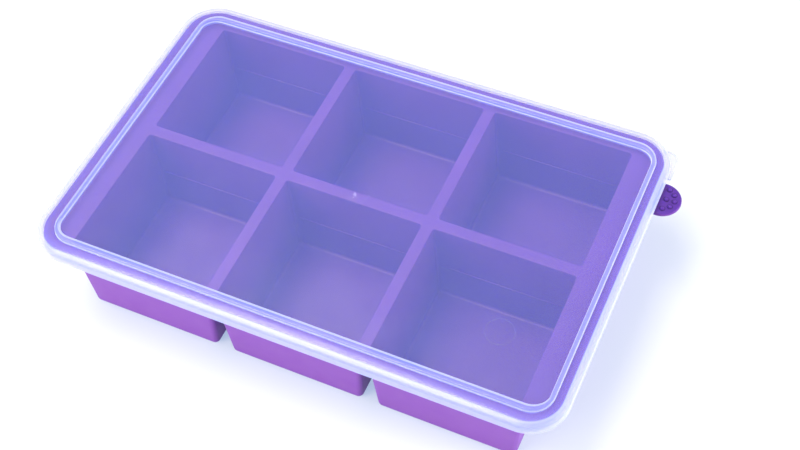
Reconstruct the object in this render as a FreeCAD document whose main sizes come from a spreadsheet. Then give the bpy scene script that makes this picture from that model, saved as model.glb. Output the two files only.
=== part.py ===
import FreeCAD, Part
import math
import os

import Sketcher

# Freezer tray with six tapered cups and a lift-off lid, in millimetres.
#
# +X runs along the long side, +Y to the back and +Z up. z = 0 is the surface that the cups
# stand on, and the origin is the middle of the whole footprint, with the thumb tab counted.
#
# The tray is one soft moulding: a deck inside a raised rim, six cups that hang from the deck
# and taper in both directions, and a thumb tab on the rim. The lid is one thin stiff moulding:
# a panel that seats on the rim, a skirt round the outside of it, a bead that keeps the cups of
# a second tray from sliding when trays are stacked, and a lift tab at one corner.
#
# Each body is drawn about the middle of the tray and is moved to the origin by its Placement.
# Levels count up from the ground. Sizes across are full widths, and drafts are in degrees.

COLUMNS = 3
ROWS = 2
ARC_BUMPS = 5
UP = FreeCAD.Vector(0, 0, 1)

SIZES = (
    ("cell_width", 73.85, "mouth of a cell along the long side"),
    ("cell_length", 74.5, "mouth of a cell from front to back"),
    ("cell_depth", 48.7, "deck to cell floor"),
    ("column_divider", 6.15, "deck between two mouths along the long side"),
    ("row_divider", 6.35, "deck between two mouths from front to back"),
    ("side_draft", 3.5, "lean of the walls that face left and right"),
    ("end_draft", 2.3, "lean of the walls that face front and back"),
    ("cell_round", 1.6, "rounding of a cell's upright corners"),
    ("cup_wall", 2.05, "thickness of a cup's walls"),
    ("floor_thickness", 2.3, "thickness of a cup's floor"),
    ("cup_round", 2.8, "rounding outside a cup, upright corners and foot"),
    ("fill_height", 20.7, "cell floor to the middle of the fill line"),
    ("fill_width", 0.9, "height of the fill line's ridge up the back wall"),
    ("fill_rise", 0.4, "how far the fill line stands out from the back wall"),
    ("deck_thickness", 2.4, "thickness of the deck"),
    ("side_margin", 17.7, "last mouth to the rim's top outline, left and right"),
    ("end_margin", 9.0, "last mouth to the rim's top outline, front and back"),
    ("rim_corner", 16.4, "plan radius of the rim's top outline"),
    ("rim_width", 5.5, "width of the flat on top of the rim"),
    ("rim_rise", 2.9, "rim above the deck"),
    ("rim_drop", 3.6, "rim below the deck's upper face"),
    ("rim_draft", 12.0, "outward lean of the rim towards its foot"),
    ("rim_round", 0.8, "rounding of the rim's outer top edge"),
    ("thumb_radius", 9.9, "round end of the thumb tab"),
    ("thumb_reach", 4.2, "rim's top outline to the centre of the round end"),
    ("thumb_inset", 29.2, "thumb tab's centre line to the rim's back outline"),
    ("thumb_thickness", 2.0, "thickness of the thumb tab"),
    ("bump_radius", 1.0, "radius of a grip bump"),
    ("bump_rise", 0.6, "height of a grip bump"),
    ("bump_circle", 6.5, "radius of the arc of grip bumps"),
    ("bump_sweep", 140.0, "angle that the arc of grip bumps covers"),
    ("middle_bump", 2.4, "centre of the round end to the middle bump"),
    ("seat_gap", 0.2, "running gap between the rim and the lid's panel"),
    ("skirt_gap", 0.7, "gap between the rim and the skirt at the skirt's foot"),
    ("skirt_wall", 2.0, "thickness of the skirt at its foot"),
    ("skirt_drop", 1.3, "foot of the skirt below the deck's upper face"),
    ("skirt_draft", 4.0, "outward lean of the skirt towards its foot"),
    ("lid_thickness", 1.2, "thickness of the lid's panel"),
    ("shoulder_round", 2.0, "rounding between panel and skirt, outside"),
    ("hollow_bevel", 0.6, "bevel between panel and skirt, inside"),
    ("bead_inset", 4.45, "rim's top outline to the outside of the stacking bead"),
    ("bead_width", 3.7, "width of the stacking bead"),
    ("bead_rise", 1.7, "height of the stacking bead"),
    ("bead_round", 0.9, "rounding of the stacking bead's top edges"),
    ("gate_radius", 7.0, "radius of the shallow round recess in the middle of the lid"),
    ("gate_depth", 0.3, "depth of the round recess"),
    ("lift_side", 1.0, "lift tab beyond the skirt's foot on the right"),
    ("lift_inset", 3.8, "lift tab's back edge to the skirt's foot at the back"),
    ("lift_length", 17.5, "lift tab from front to back"),
    ("lift_corner", 6.7, "radius of the lift tab's outer corner"),
    ("lift_thickness", 1.2, "thickness of the lift tab"),
)

# Levels and outlines that both bodies share, as expressions on the sheet.
DECK = "(Sizes.cell_depth + Sizes.floor_thickness)"
RIM_FOOT = f"({DECK} - Sizes.rim_drop)"
RIM_TOP = f"({DECK} + Sizes.rim_rise)"
SKIRT_FOOT = f"({DECK} - Sizes.skirt_drop)"
LID_UNDERSIDE = f"({RIM_TOP} + Sizes.seat_gap)"
LID_TOP = f"({LID_UNDERSIDE} + Sizes.lid_thickness)"
COLUMN_PITCH = "(Sizes.cell_width + Sizes.column_divider)"
ROW_PITCH = "(Sizes.cell_length + Sizes.row_divider)"
RIM_WIDTH = f"({COLUMNS - 1} * {COLUMN_PITCH} + Sizes.cell_width + 2 * Sizes.side_margin)"
RIM_LENGTH = f"({ROWS - 1} * {ROW_PITCH} + Sizes.cell_length + 2 * Sizes.end_margin)"
RIM_SPREAD = "((Sizes.rim_rise + Sizes.rim_drop) * tan(Sizes.rim_draft * 1 deg))"
SKIRT_SPREAD = ("((Sizes.rim_rise + Sizes.skirt_drop) * tan(Sizes.rim_draft * 1 deg)"
                " + Sizes.skirt_gap)")
LID_SPREAD = f"({SKIRT_SPREAD} + Sizes.skirt_wall)"
THUMB_X = f"({RIM_WIDTH} / 2 + Sizes.thumb_reach)"
THUMB_Y = f"({RIM_LENGTH} / 2 - Sizes.thumb_inset)"
THUMB_TOP = f"({RIM_FOOT} + Sizes.thumb_thickness)"
FILL_DEPTH = "(Sizes.cell_depth - Sizes.fill_height)"
LID_SIDE = f"({RIM_WIDTH} / 2 + {LID_SPREAD})"
LIFT_X = f"({LID_SIDE} + Sizes.lift_side)"
LIFT_Y = f"({RIM_LENGTH} / 2 + {LID_SPREAD} - Sizes.lift_inset)"
CENTRE_X = f"-({THUMB_X} + Sizes.thumb_radius - {LID_SIDE}) / 2"
FIRST_X = f"(-{(COLUMNS - 1) / 2} * {COLUMN_PITCH})"
FIRST_Y = f"(-{(ROWS - 1) / 2} * {ROW_PITCH})"


def make_sheet(doc):
    """Put the driving sizes in a spreadsheet, one row each, with an alias on the number."""
    sheet = doc.addObject("Spreadsheet::Sheet", "Sizes")
    for row, (alias, value, note) in enumerate(SIZES, start=1):
        sheet.set(f"A{row}", alias)
        sheet.set(f"B{row}", str(value))
        sheet.set(f"C{row}", note)
        sheet.setAlias(f"B{row}", alias)
    doc.recompute()
    return sheet


def value_of(item, expression):
    """Work an expression on the sheet out as a plain number."""
    return float(item.evalExpression(expression))


def origin_feature(body, role):
    """Return one of the body's own origin planes or axes."""
    return next(item for item in body.Origin.OriginFeatures if item.Role == role)


def make_body(doc, label):
    """Start a body that is drawn about the tray's middle and placed on the origin."""
    body = doc.addObject("PartDesign::Body", label)
    body.Label = label
    body.setExpression(".Placement.Base.x", CENTRE_X)
    return body


def level_sketch(body, name, level, x="0", y="0"):
    """Add a sketch that lies level at a height, with its origin at x and y."""
    sketch = body.newObject("Sketcher::SketchObject", name)
    sketch.AttachmentSupport = [(origin_feature(body, "XY_Plane"), "")]
    sketch.MapMode = "FlatFace"
    sketch.setExpression(".AttachmentOffset.Base.x", x)
    sketch.setExpression(".AttachmentOffset.Base.y", y)
    sketch.setExpression(".AttachmentOffset.Base.z", level)
    return sketch


def drive(sketch, name, constraint, expression):
    """Add a named size to the sketch and bind it to an expression."""
    index = sketch.addConstraint(constraint)
    sketch.renameConstraint(index, name)
    sketch.setExpression(f"Constraints.{name}", expression)


def rounded_rectangle(sketch, tag, width, length, radius):
    """Draw a rounded rectangle about the sketch's origin from three expressions."""
    w, l, r = (value_of(sketch, text) for text in (width, length, radius))
    x, y = w / 2 - r, l / 2 - r
    corners = []
    for turn, (centre_x, centre_y) in enumerate(((x, -y), (x, y), (-x, y), (-x, -y))):
        circle = Part.Circle(FreeCAD.Vector(centre_x, centre_y, 0), UP, r)
        start = math.radians(90 * turn - 90)
        arc = Part.ArcOfCircle(circle, start, start + math.pi / 2)
        corners.append(sketch.addGeometry(arc, False))
    sides = []
    for turn, corner in enumerate(corners):
        following = corners[(turn + 1) % 4]
        line = Part.LineSegment(sketch.getPoint(corner, 2), sketch.getPoint(following, 1))
        side = sketch.addGeometry(line, False)
        sketch.addConstraint(Sketcher.Constraint("Tangent", corner, 2, side, 1))
        sketch.addConstraint(Sketcher.Constraint("Tangent", side, 2, following, 1))
        sketch.addConstraint(Sketcher.Constraint(("Vertical", "Horizontal")[turn % 2], side))
        sides.append(side)
    right, top, left, bottom = sides
    for corner in corners[1:]:
        sketch.addConstraint(Sketcher.Constraint("Equal", corners[0], corner))
    sketch.addConstraint(Sketcher.Constraint("Symmetric", corners[0], 3, corners[2], 3, -1, 1))
    drive(sketch, f"{tag}_radius", Sketcher.Constraint("Radius", corners[0], r), radius)
    drive(sketch, f"{tag}_width",
          Sketcher.Constraint("DistanceX", left, 1, right, 1, w), width)
    drive(sketch, f"{tag}_length",
          Sketcher.Constraint("DistanceY", bottom, 1, top, 1, l), length)


def plain_rectangle(sketch, width, length):
    """Draw a rectangle about the sketch's origin from two expressions."""
    w, l = value_of(sketch, width), value_of(sketch, length)
    places = ((-w, -l), (w, -l), (w, l), (-w, l))
    points = [FreeCAD.Vector(x / 2, y / 2, 0) for x, y in places]
    sides = [sketch.addGeometry(Part.LineSegment(*ends), False)
             for ends in zip(points, points[1:] + points[:1])]
    for turn, side in enumerate(sides):
        following = sides[(turn + 1) % 4]
        sketch.addConstraint(Sketcher.Constraint("Coincident", side, 2, following, 1))
        sketch.addConstraint(Sketcher.Constraint(("Horizontal", "Vertical")[turn % 2], side))
    front, right, back, _ = sides
    sketch.addConstraint(Sketcher.Constraint("Symmetric", front, 1, back, 1, -1, 1))
    drive(sketch, "width", Sketcher.Constraint("DistanceX", front, 1, front, 2, w), width)
    drive(sketch, "length", Sketcher.Constraint("DistanceY", right, 1, right, 2, l), length)


def pad(body, name, sketch, length, downwards=False, draft="0"):
    """Raise a sketch by a length or hang it down. A draft leans the walls inwards."""
    feature = body.newObject("PartDesign::Pad", name)
    feature.Profile = sketch
    feature.Refine = True
    feature.Reversed = downwards
    feature.setExpression("Length", length)
    feature.setExpression("TaperAngle", f"-({draft})")
    return feature


def pocket(body, name, sketch, depth, upwards=False, draft="0"):
    """Cut a sketch away, down from its plane or upwards into the solid above it."""
    feature = body.newObject("PartDesign::Pocket", name)
    feature.Profile = sketch
    feature.Refine = True
    feature.Reversed = upwards
    feature.setExpression("Length", depth)
    feature.setExpression("TaperAngle", f"-({draft})")
    return feature


def bank(body, name, feature):
    """Repeat a feature of the front left cup along both directions of the tray."""
    pattern = body.newObject("PartDesign::LinearPattern", name)
    pattern.Originals = [feature]
    pattern.Refine = True
    pattern.Direction = (origin_feature(body, "X_Axis"), [""])
    pattern.Occurrences = COLUMNS
    pattern.setExpression("Length", f"{COLUMNS - 1} * {COLUMN_PITCH}")
    pattern.Direction2 = (origin_feature(body, "Y_Axis"), [""])
    pattern.Occurrences2 = ROWS
    pattern.setExpression("Length2", f"{ROWS - 1} * {ROW_PITCH}")
    body.Tip = pattern
    return pattern


def dress_edges(body, kind, name, base, wanted):
    """Put a fillet or a chamfer on the base feature's edges that a test accepts."""
    edges = enumerate(base.Shape.Edges, start=1)
    chosen = [f"Edge{index}" for index, edge in edges if wanted(edge)]
    if not chosen:
        raise RuntimeError(f"{name}: no edge to dress")
    feature = body.newObject(f"PartDesign::{kind}", name)
    feature.Base = (base, chosen)
    return feature


def round_edges(body, name, base, radius, wanted):
    """Round the edges of the base feature that a test on each edge accepts."""
    fillet = dress_edges(body, "Fillet", name, base, wanted)
    fillet.setExpression("Radius", radius)
    return fillet


def bevel_edges(body, name, base, size, wanted):
    """Bevel the edges of the base feature that a test on each edge accepts."""
    chamfer = dress_edges(body, "Chamfer", name, base, wanted)
    chamfer.setExpression("Size", size)
    return chamfer


def level_edge(edge, level):
    """Tell whether a whole edge lies at a level."""
    box = edge.BoundBox
    return abs(box.ZMin - level) < 0.01 and abs(box.ZMax - level) < 0.01


def rising_edge(edge, foot, head):
    """Tell whether an edge climbs from one level to another."""
    box = edge.BoundBox
    return abs(box.ZMin - foot) < 0.01 and abs(box.ZMax - head) < 0.01


def cup_outline(body, name, skin):
    """Draw the front left cell's mouth on the deck, with a skin of material round it."""
    sketch = level_sketch(body, name, DECK, FIRST_X, FIRST_Y)
    plain_rectangle(sketch, f"Sizes.cell_width + 2 * {skin}", f"Sizes.cell_length + 2 * {skin}")
    return sketch


def deck_plane(body):
    """Add the plane of the deck's upper face, about which every wall leans."""
    plane = body.newObject("PartDesign::Plane", "deck_plane")
    plane.AttachmentSupport = [(origin_feature(body, "XY_Plane"), "")]
    plane.MapMode = "FlatFace"
    plane.setExpression(".AttachmentOffset.Base.z", DECK)
    return plane


def lean_walls(body, name, plane, foot, facing, angle, hollow):
    """Lean the upright walls that stand on a level and face one way."""
    base = body.Tip
    chosen = []
    for index, face in enumerate(base.Shape.Faces, start=1):
        upright = abs(face.normalAt(0, 0).dot(facing)) > 0.99
        if upright and abs(face.BoundBox.ZMin - foot) < 0.01:
            chosen.append(f"Face{index}")
    if not chosen:
        raise RuntimeError(f"{name}: no wall to lean")
    draft = body.newObject("PartDesign::Draft", name)
    draft.Base = (base, chosen)
    draft.NeutralPlane = (plane, [""])
    draft.Reversed = not hollow
    draft.setExpression("Angle", angle)


def add_deck_and_rim(doc, tray):
    """Make the deck with its raised rim, hollow underneath behind the rim's hem."""
    outline = level_sketch(tray, "rim_outline", RIM_FOOT)
    rounded_rectangle(outline, "rim", f"{RIM_WIDTH} + 2 * {RIM_SPREAD}",
                      f"{RIM_LENGTH} + 2 * {RIM_SPREAD}", f"Sizes.rim_corner + {RIM_SPREAD}")
    block = pad(tray, "rim_block", outline, f"{RIM_TOP} - {RIM_FOOT}", draft="Sizes.rim_draft")
    doc.recompute()
    top = value_of(tray, RIM_TOP)
    round_edges(tray, "rim_rounding", block, "Sizes.rim_round",
                lambda edge: level_edge(edge, top))

    inner = (f"{RIM_WIDTH} - 2 * Sizes.rim_width", f"{RIM_LENGTH} - 2 * Sizes.rim_width",
             "Sizes.rim_corner - Sizes.rim_width")
    well = level_sketch(tray, "well_outline", RIM_TOP)
    rounded_rectangle(well, "well", *inner)
    pocket(tray, "well", well, "Sizes.rim_rise")

    hem = level_sketch(tray, "hem_outline", RIM_FOOT)
    rounded_rectangle(hem, "hem", *inner)
    pocket(tray, "hem", hem, "Sizes.rim_drop - Sizes.deck_thickness", upwards=True)


def add_cups(doc, tray):
    """Hang the bank of cups under the deck, hollow out their cells and lean the walls."""
    cup = pad(tray, "cup", cup_outline(tray, "cup_outline", "Sizes.cup_wall"), DECK,
              downwards=True)
    bank(tray, "cups", cup)
    cell = pocket(tray, "cell", cup_outline(tray, "cell_outline", "0"), "Sizes.cell_depth")
    bank(tray, "cells", cell)

    plane = deck_plane(tray)
    sideways, endways = FreeCAD.Vector(1, 0, 0), FreeCAD.Vector(0, 1, 0)
    floor = value_of(tray, "Sizes.floor_thickness")
    for name, foot, hollow in (("cell", floor, True), ("cup", 0, False)):
        for side, facing in (("side", sideways), ("end", endways)):
            doc.recompute()
            lean_walls(tray, f"{name}_{side}_draft", plane, foot, facing,
                       f"Sizes.{side}_draft", hollow)
    doc.recompute()

    deck, underside = value_of(tray, DECK), value_of(tray, f"{DECK} - Sizes.deck_thickness")
    round_edges(tray, "cup_rounding", tray.Tip, "Sizes.cup_round",
                lambda edge: level_edge(edge, 0) or rising_edge(edge, 0, underside))
    doc.recompute()
    round_edges(tray, "cell_rounding", tray.Tip, "Sizes.cell_round",
                lambda edge: rising_edge(edge, floor, deck))


def add_fill_lines(doc, tray):
    """Raise a thin level ridge on the back wall of every cell."""
    inner_face = f"({FIRST_Y} + Sizes.cell_length / 2 - {FILL_DEPTH} * tan(Sizes.end_draft * 1 deg))"
    into_wall = "(Sizes.cup_wall / 2)"
    sketch = level_sketch(tray, "fill_outline", f"{DECK} - {FILL_DEPTH} - Sizes.fill_width / 2",
                          FIRST_X, f"{inner_face} + ({into_wall} - Sizes.fill_rise) / 2")
    plain_rectangle(sketch,
                    f"Sizes.cell_width - 2 * {FILL_DEPTH} * tan(Sizes.side_draft * 1 deg)"
                    " - 4 * Sizes.cell_round",
                    f"{into_wall} + Sizes.fill_rise")
    bank(tray, "fill_lines", pad(tray, "fill_line", sketch, "Sizes.fill_width"))
    doc.recompute()


def thumb_outline(tray):
    """Draw the thumb tab about the centre of its round end, with its root in the rim."""
    sketch = level_sketch(tray, "thumb_outline", RIM_FOOT, THUMB_X, THUMB_Y)
    radius = value_of(tray, "Sizes.thumb_radius")
    root = "Sizes.thumb_reach + Sizes.rim_width / 2"
    back = value_of(tray, root)
    points = [FreeCAD.Vector(-back, radius, 0), FreeCAD.Vector(-back, -radius, 0)]
    ends = [FreeCAD.Vector(0, radius, 0), FreeCAD.Vector(0, -radius, 0)]
    ring = Part.Circle(FreeCAD.Vector(0, 0, 0), UP, radius)
    far = sketch.addGeometry(Part.LineSegment(ends[0], points[0]), False)
    inner = sketch.addGeometry(Part.LineSegment(points[0], points[1]), False)
    near = sketch.addGeometry(Part.LineSegment(points[1], ends[1]), False)
    tip = sketch.addGeometry(Part.ArcOfCircle(ring, -math.pi / 2, math.pi / 2), False)
    sketch.addConstraint(Sketcher.Constraint("Coincident", tip, 3, -1, 1))
    sketch.addConstraint(Sketcher.Constraint("Coincident", far, 2, inner, 1))
    sketch.addConstraint(Sketcher.Constraint("Coincident", inner, 2, near, 1))
    sketch.addConstraint(Sketcher.Constraint("Tangent", near, 2, tip, 1))
    sketch.addConstraint(Sketcher.Constraint("Tangent", tip, 2, far, 1))
    sketch.addConstraint(Sketcher.Constraint("Horizontal", far))
    sketch.addConstraint(Sketcher.Constraint("Vertical", inner))
    drive(sketch, "tip_radius", Sketcher.Constraint("Radius", tip, radius), "Sizes.thumb_radius")
    drive(sketch, "root", Sketcher.Constraint("DistanceX", inner, 1, -1, 1, back), root)
    return sketch


def disc(body, name, level, radius, x="0", y="0"):
    """Draw a circle on a level, about its own centre."""
    sketch = level_sketch(body, name, level, x, y)
    size = value_of(body, radius)
    circle = sketch.addGeometry(Part.Circle(FreeCAD.Vector(0, 0, 0), UP, size), False)
    sketch.addConstraint(Sketcher.Constraint("Coincident", circle, 3, -1, 1))
    drive(sketch, "radius", Sketcher.Constraint("Radius", circle, size), radius)
    return sketch


def grip_bump(tray, name, x, y):
    """Raise one low bump on the thumb tab, at a place counted from its round end's centre."""
    foot = disc(tray, f"{name}_outline", THUMB_TOP, "Sizes.bump_radius", f"{THUMB_X} + {x}",
                f"{THUMB_Y} + {y}")
    return pad(tray, name, foot, "Sizes.bump_rise")


def add_thumb_tab(doc, tray):
    """Make the thumb tab with an arc of grip bumps and one bump in the middle."""
    outline = thumb_outline(tray)
    pad(tray, "thumb_tab", outline, "Sizes.thumb_thickness")
    grip_bump(tray, "middle_bump", "Sizes.middle_bump", "0")
    first = grip_bump(tray, "arc_bump", "Sizes.bump_circle * cos(Sizes.bump_sweep / 2 * 1 deg)",
                      "-Sizes.bump_circle * sin(Sizes.bump_sweep / 2 * 1 deg)")
    arc = tray.newObject("PartDesign::PolarPattern", "grip_bumps")
    arc.Originals = [first]
    arc.Axis = (outline, ["N_Axis"])
    arc.Occurrences = ARC_BUMPS
    arc.setExpression("Angle", "Sizes.bump_sweep")
    tray.Tip = arc
    doc.recompute()


def make_tray(doc):
    """Model the soft tray."""
    tray = make_body(doc, "tray")
    add_deck_and_rim(doc, tray)
    add_cups(doc, tray)
    add_fill_lines(doc, tray)
    add_thumb_tab(doc, tray)
    return tray


def lift_outline(lid):
    """Draw the lift tab at the back right corner, with its root inside the skirt."""
    sketch = level_sketch(lid, "lift_outline", SKIRT_FOOT, LIFT_X, LIFT_Y)
    radius = value_of(lid, "Sizes.lift_corner")
    length = value_of(lid, "Sizes.lift_length")
    root = "Sizes.lift_side + Sizes.lift_corner + Sizes.skirt_wall"
    back = value_of(lid, root)
    places = ((-radius, 0), (-back, 0), (-back, -length), (0, -length), (0, -radius))
    points = [FreeCAD.Vector(x, y, 0) for x, y in places]
    ring = Part.Circle(FreeCAD.Vector(-radius, -radius, 0), UP, radius)
    sides = [sketch.addGeometry(Part.LineSegment(*pair), False)
             for pair in zip(points, points[1:])]
    corner = sketch.addGeometry(Part.ArcOfCircle(ring, 0, math.pi / 2), False)
    for side, following in zip(sides, sides[1:]):
        sketch.addConstraint(Sketcher.Constraint("Coincident", side, 2, following, 1))
    for side, kind in zip(sides, ("Horizontal", "Vertical") * 2):
        sketch.addConstraint(Sketcher.Constraint(kind, side))
    sketch.addConstraint(Sketcher.Constraint("Tangent", sides[3], 2, corner, 1))
    sketch.addConstraint(Sketcher.Constraint("Tangent", corner, 2, sides[0], 1))
    sketch.addConstraint(Sketcher.Constraint("PointOnObject", sides[0], 1, -1))
    sketch.addConstraint(Sketcher.Constraint("PointOnObject", sides[3], 1, -2))
    drive(sketch, "corner", Sketcher.Constraint("Radius", corner, radius), "Sizes.lift_corner")
    drive(sketch, "root", Sketcher.Constraint("DistanceX", sides[1], 1, -1, 1, back), root)
    drive(sketch, "length", Sketcher.Constraint("DistanceY", sides[1], 2, sides[1], 1, length),
          "Sizes.lift_length")
    return sketch


def add_lid_shell(doc, lid):
    """Make the panel and its skirt, which leans out with the rim it covers."""
    outline = level_sketch(lid, "lid_outline", SKIRT_FOOT)
    rounded_rectangle(outline, "lid", f"{RIM_WIDTH} + 2 * {LID_SPREAD}",
                      f"{RIM_LENGTH} + 2 * {LID_SPREAD}", f"Sizes.rim_corner + {LID_SPREAD}")
    block = pad(lid, "lid_block", outline, f"{LID_TOP} - {SKIRT_FOOT}",
                draft="Sizes.skirt_draft")
    doc.recompute()
    top = value_of(lid, LID_TOP)
    round_edges(lid, "shoulder", block, "Sizes.shoulder_round",
                lambda edge: level_edge(edge, top))
    pad(lid, "lift_tab", lift_outline(lid), "Sizes.lift_thickness")

    hollow = level_sketch(lid, "hollow_outline", SKIRT_FOOT)
    rounded_rectangle(hollow, "hollow", f"{RIM_WIDTH} + 2 * {SKIRT_SPREAD}",
                      f"{RIM_LENGTH} + 2 * {SKIRT_SPREAD}", f"Sizes.rim_corner + {SKIRT_SPREAD}")
    inside = pocket(lid, "hollow", hollow, f"{LID_UNDERSIDE} - {SKIRT_FOOT}", upwards=True,
                    draft="Sizes.skirt_draft")
    doc.recompute()
    ceiling = value_of(lid, LID_UNDERSIDE)
    return bevel_edges(lid, "hollow_bevel", inside, "Sizes.hollow_bevel",
                       lambda edge: level_edge(edge, ceiling))


def add_stacking_bead(doc, lid):
    """Raise the bead that the feet of a stacked tray sit inside."""
    ring = level_sketch(lid, "bead_outline", LID_TOP)
    for tag, inset in (("outer", "Sizes.bead_inset"),
                       ("inner", "(Sizes.bead_inset + Sizes.bead_width)")):
        rounded_rectangle(ring, tag, f"{RIM_WIDTH} - 2 * {inset}", f"{RIM_LENGTH} - 2 * {inset}",
                          f"Sizes.rim_corner - {inset}")
    bead = pad(lid, "bead", ring, "Sizes.bead_rise")
    doc.recompute()
    crest = value_of(lid, f"{LID_TOP} + Sizes.bead_rise")
    return round_edges(lid, "bead_rounding", bead, "Sizes.bead_round",
                       lambda edge: level_edge(edge, crest))


def make_lid(doc):
    """Model the lift-off lid."""
    lid = make_body(doc, "lid")
    add_lid_shell(doc, lid)
    add_stacking_bead(doc, lid)
    pocket(lid, "gate_recess", disc(lid, "gate_outline", LID_TOP, "Sizes.gate_radius"),
           "Sizes.gate_depth")
    return lid


def check(doc, bodies):
    """Stop if any object failed or if a body is not one valid solid."""
    for item in doc.Objects:
        if {"Invalid", "Error"} & set(item.State):
            raise RuntimeError(f"{item.Name} failed: {item.State}")
    for body in bodies:
        shape = body.Shape
        if shape.isNull() or not shape.isValid() or len(shape.Solids) != 1:
            raise RuntimeError(f"{body.Label} is not one valid solid")


def main():
    """Build the tray and its lid and write one STEP file for each."""
    doc = FreeCAD.newDocument("FreezerTray")
    make_sheet(doc)
    bodies = [make_tray(doc), make_lid(doc)]
    doc.recompute()
    check(doc, bodies)
    os.makedirs("parts", exist_ok=True)
    for body in bodies:
        box = body.Shape.BoundBox
        print(f"{body.Label}: {body.Shape.Volume / 1000:.1f} cm3, x {box.XMin:.2f} {box.XMax:.2f},"
              f" y {box.YMin:.2f} {box.YMax:.2f}, z {box.ZMin:.2f} {box.ZMax:.2f}")
        body.Shape.exportStep(f"parts/{body.Label}.step")


main()
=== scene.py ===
"""Looks of a six-cup freezer tray and its lift-off lid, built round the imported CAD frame.

The row frame is used throughout: +X along the long side, +Y to the back, +Z up, with the cups
standing on z = 0. Sizes are in millimetres until a mesh is made. Each moulding is a closed skin
worked out as whole arrays: a profile of reach and height is carried round a rounded rectangle.
"""

import logging
import math
from dataclasses import dataclass, field
from enum import Enum

import bmesh
import bpy
import numpy as np
from mathutils import Matrix, Vector

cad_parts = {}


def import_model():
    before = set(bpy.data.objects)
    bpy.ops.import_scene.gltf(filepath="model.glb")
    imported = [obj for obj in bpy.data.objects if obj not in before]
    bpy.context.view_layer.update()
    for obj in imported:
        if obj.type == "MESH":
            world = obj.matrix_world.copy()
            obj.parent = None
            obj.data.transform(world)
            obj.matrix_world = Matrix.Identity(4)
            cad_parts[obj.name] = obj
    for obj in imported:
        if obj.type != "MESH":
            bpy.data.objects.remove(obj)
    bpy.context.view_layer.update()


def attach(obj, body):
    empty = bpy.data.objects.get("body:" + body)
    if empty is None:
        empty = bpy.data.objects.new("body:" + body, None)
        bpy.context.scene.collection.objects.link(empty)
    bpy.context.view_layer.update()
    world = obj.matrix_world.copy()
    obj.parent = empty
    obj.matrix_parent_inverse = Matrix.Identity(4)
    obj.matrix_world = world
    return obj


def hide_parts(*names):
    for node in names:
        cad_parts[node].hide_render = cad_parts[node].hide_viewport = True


LOG = logging.getLogger("freezer_tray")
MM = 0.001
MERGE = 2e-6  # metres under which two points of a mesh are made one
MIDDLE = np.array([-5.2537, 0.0, 0.0])  # of the deck: the thumb tab counts in the footprint
CORNERS = np.array([[1, -1], [1, 1], [-1, 1], [-1, -1]], float)  # signs, from front right
NOISE_SPAN = (0.3, 0.7)  # nearly all of a noise pattern lies in this part of 0 to 1

Socket = bpy.types.NodeSocket
Value = float | tuple | Socket
Pair = tuple[float, float]
Colour = tuple[float, float, float, float]


class End(Enum):
    """How a skin finishes at its first or last loop."""

    OPEN = "open"
    POLE = "pole"


def directions(angles: np.ndarray) -> np.ndarray:
    """Turn angles into unit directions, with a last axis of 2."""
    return np.stack([np.cos(angles), np.sin(angles)], axis=-1)


@dataclass(frozen=True)
class Sampling:
    """How finely a rounded rectangle is divided.

    Args:
        corner_steps: Steps round each corner.
        side_steps: Steps along each straight side.
    """

    corner_steps: int = 8
    side_steps: int = 12

    def loop(
        self, half: Pair, radii: tuple[float, float, float, float]
    ) -> tuple[np.ndarray, np.ndarray]:
        """Sample a rounded rectangle about the origin, anticlockwise from its right side.

        A corner's points are its centre plus its radius times the direction, which turns by a
        quarter. A side's points run evenly from one corner's last point to the next's first.

        Args:
            half: Half the width and half the length.
            radii: Corner radii from front right, anticlockwise.

        Returns:
            The points and their outward directions, both N by 2.
        """
        radius = np.array(radii, float)
        centres = CORNERS * (np.array(half, float) - radius[:, None])
        begin = np.radians(90.0 * np.arange(4) - 90.0)
        share = np.arange(self.corner_steps) / self.corner_steps
        arc_out = directions(begin[:, None] + share * math.pi / 2)
        arcs = centres[:, None, :] + radius[:, None, None] * arc_out
        last_out = directions(begin + math.pi / 2)
        last = centres + radius[:, None] * last_out
        first = np.roll(arcs[:, 0, :], -1, axis=0)
        along = (np.arange(self.side_steps) / self.side_steps)[None, :, None]
        sides = last[:, None, :] * (1 - along) + first[:, None, :] * along
        side_out = np.repeat(last_out[:, None, :], self.side_steps, axis=1)
        points = np.concatenate([arcs, sides], axis=1).reshape(-1, 2)
        outward = np.concatenate([arc_out, side_out], axis=1).reshape(-1, 2)
        return points, outward


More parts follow.
